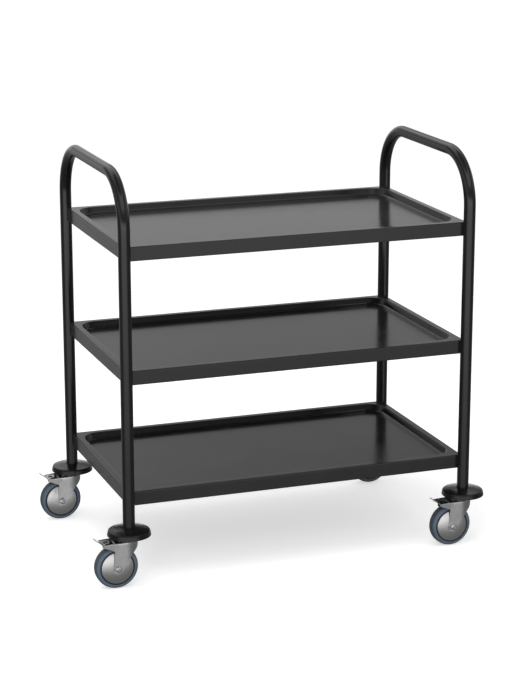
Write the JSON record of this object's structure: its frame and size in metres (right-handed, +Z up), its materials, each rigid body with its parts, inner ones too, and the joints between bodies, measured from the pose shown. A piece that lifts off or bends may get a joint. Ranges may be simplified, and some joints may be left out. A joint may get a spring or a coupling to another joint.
{
  "type": "serving trolley",
  "caption": "Push trolley with pressed trays on tiers between two bent tube hoops that form legs and handles, rolling on braked swivel castors with round bumpers.",
  "frame": {"origin": "on the floor, midway between the four legs", "axes": "+X along the length towards the right-hand handle, +Y from front to back, +Z up"},
  "size_m": [0.9576, 0.5946, 0.946],
  "materials": {
    "black_tube": "satin black coat",
    "black_tray": "satin black coat",
    "bumper_black": "moulded, slightly glossy",
    "castor_steel": "pressed and zinc plated",
    "zinc_fastener": "zinc plated",
    "guard_grey": "silver grey moulding",
    "core_grey": "moulded",
    "tyre_grey": "blue grey rubber"
  },
  "bodies": {
    "frame": {"left_hoop": "black_tube", "right_hoop": "black_tube", "top_tray": "black_tray", "middle_tray": "black_tray", "bottom_tray": "black_tray", "tray_corner_plates": "black_tray", "tray_bolts": "zinc_fastener", "rivet_nuts": "zinc_fastener", "leg_plugs": "zinc_fastener", "front_left_bumper": "bumper_black", "front_left_swivel_head": "castor_steel", "front_left_ball_ring": "castor_steel", "front_right_bumper": "bumper_black", "front_right_swivel_head": "castor_steel", "front_right_ball_ring": "castor_steel", "rear_left_bumper": "bumper_black", "rear_left_swivel_head": "castor_steel", "rear_left_ball_ring": "castor_steel", "rear_right_bumper": "bumper_black", "rear_right_swivel_head": "castor_steel", "rear_right_ball_ring": "castor_steel"},
    "front_left_castor": {"front_left_fork": "castor_steel", "front_left_axle_bolt": "zinc_fastener", "front_left_axle_nut": "zinc_fastener", "front_left_axle_sleeve": "zinc_fastener", "front_left_thread_guards": "guard_grey", "front_left_brake_pin": "zinc_fastener"},
    "front_left_wheel": {"front_left_wheel_core": "core_grey", "front_left_tyre": "tyre_grey"},
    "front_left_brake": {"front_left_brake_pedal": "castor_steel"},
    "front_right_castor": {"front_right_fork": "castor_steel", "front_right_axle_bolt": "zinc_fastener", "front_right_axle_nut": "zinc_fastener", "front_right_axle_sleeve": "zinc_fastener", "front_right_thread_guards": "guard_grey", "front_right_brake_pin": "zinc_fastener"},
    "front_right_wheel": {"front_right_wheel_core": "core_grey", "front_right_tyre": "tyre_grey"},
    "front_right_brake": {"front_right_brake_pedal": "castor_steel"},
    "rear_left_castor": {"rear_left_fork": "castor_steel", "rear_left_axle_bolt": "zinc_fastener", "rear_left_axle_nut": "zinc_fastener", "rear_left_axle_sleeve": "zinc_fastener", "rear_left_thread_guards": "guard_grey", "rear_left_brake_pin": "zinc_fastener"},
    "rear_left_wheel": {"rear_left_wheel_core": "core_grey", "rear_left_tyre": "tyre_grey"},
    "rear_left_brake": {"rear_left_brake_pedal": "castor_steel"},
    "rear_right_castor": {"rear_right_fork": "castor_steel", "rear_right_axle_bolt": "zinc_fastener", "rear_right_axle_nut": "zinc_fastener", "rear_right_axle_sleeve": "zinc_fastener", "rear_right_thread_guards": "guard_grey", "rear_right_brake_pin": "zinc_fastener"},
    "rear_right_wheel": {"rear_right_wheel_core": "core_grey", "rear_right_tyre": "tyre_grey"},
    "rear_right_brake": {"rear_right_brake_pedal": "castor_steel"}
  },
  "joints": [
    {"name": "front_left_swivel", "type": "hinge", "parent": "frame", "child": "front_left_castor", "pos_m": [-0.4125, -0.2475, 0.112], "axis": [0, 0, 1], "continuous": true},
    {"name": "front_left_roll", "type": "hinge", "parent": "front_left_castor", "child": "front_left_wheel", "pos_m": [-0.4445, -0.2475, 0.05], "axis": [0, 1, 0], "continuous": true},
    {"name": "front_left_brake_press", "type": "hinge", "parent": "front_left_castor", "child": "front_left_brake", "pos_m": [-0.4475, -0.2475, 0.1045], "axis": [0, -1, 0], "range_deg": [0, 10]},
    {"name": "front_right_swivel", "type": "hinge", "parent": "frame", "child": "front_right_castor", "pos_m": [0.4125, -0.2475, 0.112], "axis": [0, 0, 1], "continuous": true},
    {"name": "front_right_roll", "type": "hinge", "parent": "front_right_castor", "child": "front_right_wheel", "pos_m": [0.3805, -0.2475, 0.05], "axis": [0, 1, 0], "continuous": true},
    {"name": "front_right_brake_press", "type": "hinge", "parent": "front_right_castor", "child": "front_right_brake", "pos_m": [0.3775, -0.2475, 0.1045], "axis": [0, -1, 0], "range_deg": [0, 10]},
    {"name": "rear_left_swivel", "type": "hinge", "parent": "frame", "child": "rear_left_castor", "pos_m": [-0.4125, 0.2475, 0.112], "axis": [0, 0, 1], "continuous": true},
    {"name": "rear_left_roll", "type": "hinge", "parent": "rear_left_castor", "child": "rear_left_wheel", "pos_m": [-0.4445, 0.2475, 0.05], "axis": [0, 1, 0], "continuous": true},
    {"name": "rear_left_brake_press", "type": "hinge", "parent": "rear_left_castor", "child": "rear_left_brake", "pos_m": [-0.4475, 0.2475, 0.1045], "axis": [0, -1, 0], "range_deg": [0, 10]},
    {"name": "rear_right_swivel", "type": "hinge", "parent": "frame", "child": "rear_right_castor", "pos_m": [0.4125, 0.2475, 0.112], "axis": [0, 0, 1], "continuous": true},
    {"name": "rear_right_roll", "type": "hinge", "parent": "rear_right_castor", "child": "rear_right_wheel", "pos_m": [0.3805, 0.2475, 0.05], "axis": [0, 1, 0], "continuous": true},
    {"name": "rear_right_brake_press", "type": "hinge", "parent": "rear_right_castor", "child": "rear_right_brake", "pos_m": [0.3775, 0.2475, 0.1045], "axis": [0, -1, 0], "range_deg": [0, 10]}
  ]
}
